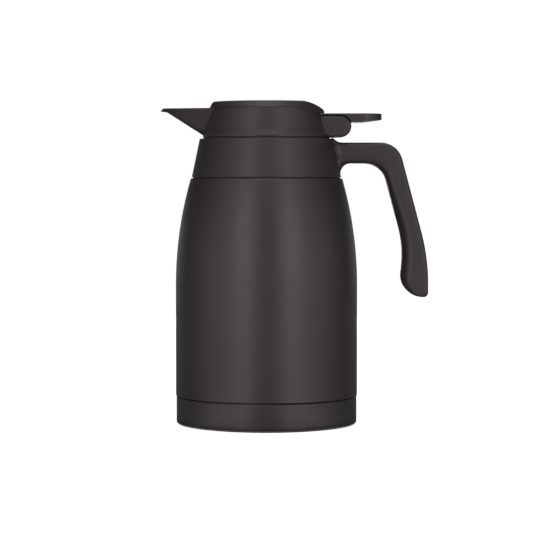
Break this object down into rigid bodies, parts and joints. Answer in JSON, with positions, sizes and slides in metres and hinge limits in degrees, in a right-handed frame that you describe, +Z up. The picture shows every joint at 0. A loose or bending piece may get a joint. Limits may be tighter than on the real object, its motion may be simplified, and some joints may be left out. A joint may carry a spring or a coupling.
{
  "type": "thermal carafe",
  "caption": "Vacuum carafe with a straight body, curved shoulder and conical collar, a pointed spout, a sprung lid with a thumb lever, a stopper that lifts out and a grip handle open below.",
  "frame": {"origin": "on the pot's axis, in the plane that it stands on", "axes": "+Z up along the pot's axis, +X towards the handle, -X towards the spout"},
  "size_m": [0.1922, 0.1308, 0.2329],
  "materials": {
    "body_coat": "matte charcoal powder coat",
    "charcoal_plastic": "fine matte moulding",
    "steel": "satin",
    "silicone": "matte translucent grey",
    "soft_ring": "matte",
    "foam": "fine open foam"
  },
  "bodies": {
    "vessel": {"outer_shell": "body_coat", "shell_bottom": "steel", "inner_bottle": "steel", "getter": "steel", "base_cup": "charcoal_plastic", "foot_ring": "soft_ring", "shoulder_collar": "charcoal_plastic", "mouth_seal": "silicone", "handle": "charcoal_plastic", "handle_screws": "steel"},
    "gasket": {"stopper_gasket": "silicone"},
    "stopper": {"stopper_plug": "charcoal_plastic", "plug_insulation": "foam", "duct_seal": "silicone", "pour_head": "charcoal_plastic", "hinge_pin": "steel", "return_spring": "steel"},
    "lid": {"lid_cover": "charcoal_plastic", "lever_frame": "charcoal_plastic", "seal_holder": "charcoal_plastic", "lid_seal": "silicone", "lid_screws": "steel"}
  },
  "joints": [
    {"name": "stopper_lift", "type": "slide", "parent": "vessel", "child": "gasket", "axis": [0, 0, 1], "range_m": [0, 0.1]},
    {"name": "stopper_turn", "type": "hinge", "parent": "gasket", "child": "stopper", "pos_m": [0, 0, 0.19], "axis": [0, 0, 1], "range_deg": [0, 120]},
    {"name": "lid_hinge", "type": "hinge", "parent": "stopper", "child": "lid", "pos_m": [0.05282, 0, 0.21465], "axis": [0, 1, 0], "range_deg": [0, 30], "stiffness_Nm_per_rad": 0.15, "springref_deg": -28.65, "deforming": ["return_spring"]}
  ]
}
